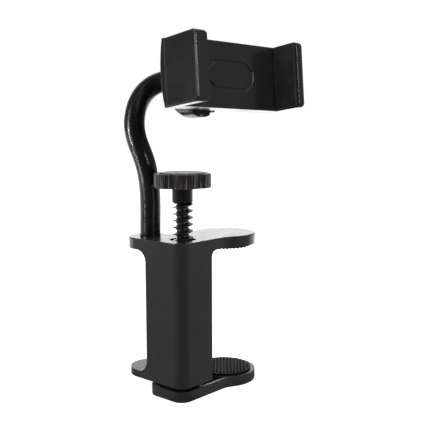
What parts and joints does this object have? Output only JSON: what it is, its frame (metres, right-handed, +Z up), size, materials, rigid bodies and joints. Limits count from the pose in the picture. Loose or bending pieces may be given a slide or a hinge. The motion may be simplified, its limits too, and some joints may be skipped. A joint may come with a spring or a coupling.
{
  "type": "guitar phone holder",
  "caption": "Screw clamp with a lower jaw on a coarse thread, a bendable gooseneck arm and a sprung phone clip on a locking ball joint, for the edge of a guitar body.",
  "frame": {"origin": "underside of the lower jaw, on the axis of the clamp screw", "axes": "+X along the jaws towards their round ends, +Y towards the foot of the gooseneck, +Z up along the screw"},
  "size_m": [0.0941, 0.0932, 0.2323],
  "materials": {
    "moulded_black": "satin charcoal moulding",
    "clip_black": "satin black moulding",
    "pad_rubber": "matt ribbed rubber",
    "jaw_rubber": "matt rubber",
    "sleeve_vinyl": "grained soft vinyl with a slight sheen",
    "core_metal": "bare wire",
    "steel": "bare turned",
    "screw_black": "gloss black",
    "knob_plastic": "worn satin charcoal",
    "bush_brass": "turned",
    "ball_plastic": "polished black",
    "nut_plastic": "satin black"
  },
  "bodies": {
    "clamp": {"clamp_body": "moulded_black", "upper_jaw_pad": "pad_rubber", "threaded_bush": "bush_brass", "arm_base_ferrule": "steel", "arm_fixing_screw": "steel", "gooseneck_core_lower": "core_metal", "gooseneck_core_flex": "core_metal", "gooseneck_sleeve": "sleeve_vinyl"},
    "lower_jaw_body": {"lower_jaw": "moulded_black", "lower_jaw_pad": "pad_rubber", "post_plug": "moulded_black"},
    "screw_body": {"clamp_screw": "screw_black", "knob": "knob_plastic", "swivel_washer": "steel", "swivel_screw": "steel"},
    "arm_upper": {"gooseneck_core_upper": "core_metal", "arm_top_ferrule": "nut_plastic"},
    "ball": {"ball_stud": "ball_plastic"},
    "lock_nut": {"ball_lock_nut": "nut_plastic"},
    "clip": {"clip_body": "clip_black", "back_cover": "clip_black", "cover_screws": "steel", "fixed_jaw_pad": "jaw_rubber", "return_spring": "steel"},
    "clip_slider": {"sliding_jaw": "clip_black", "sliding_jaw_pad": "jaw_rubber"}
  },
  "joints": [
    {"name": "jaw_slide", "type": "slide", "parent": "clamp", "child": "lower_jaw_body", "axis": [0, 0, -1], "range_m": [0, 0.023]},
    {"name": "screw_turn", "type": "hinge", "parent": "lower_jaw_body", "child": "screw_body", "pos_m": [0, 0, 0.078], "axis": [0, 0, 1], "range_deg": [-1916, 0]},
    {"name": "arm_bend", "type": "hinge", "parent": "clamp", "child": "arm_upper", "pos_m": [-0.00785, 0.02804, 0.15644], "axis": [0.1488, 0.9889, 0], "range_deg": [-35, 35], "deforming": ["gooseneck_sleeve", "gooseneck_core_flex"]},
    {"name": "ball_spin", "type": "hinge", "parent": "arm_upper", "child": "ball", "pos_m": [0.01238, 0.00162, 0.19733], "axis": [0.1567, 0.892, 0.4241], "range_deg": [-40, 40]},
    {"name": "ball_tilt", "type": "hinge", "parent": "ball", "child": "lock_nut", "pos_m": [0.01238, 0.00162, 0.19733], "axis": [0.9872, -0.1548, -0.0392], "range_deg": [-3, 60]},
    {"name": "clip_turn", "type": "hinge", "parent": "lock_nut", "child": "clip", "pos_m": [0.01238, 0.00162, 0.19733], "axis": [-0.1491, -0.9815, 0.1198], "range_deg": [-15, 195]},
    {"name": "clip_slide", "type": "slide", "parent": "clip", "child": "clip_slider", "axis": [0.9872, -0.1548, -0.0392], "range_m": [0, 0.02], "stiffness_N_per_m": 350, "springref_m": -0.015, "deforming": ["return_spring"]}
  ],
  "couplings": [
    {"joint": "screw_turn", "follows": "jaw_slide", "rad_per_m": -1451.1}
  ]
}
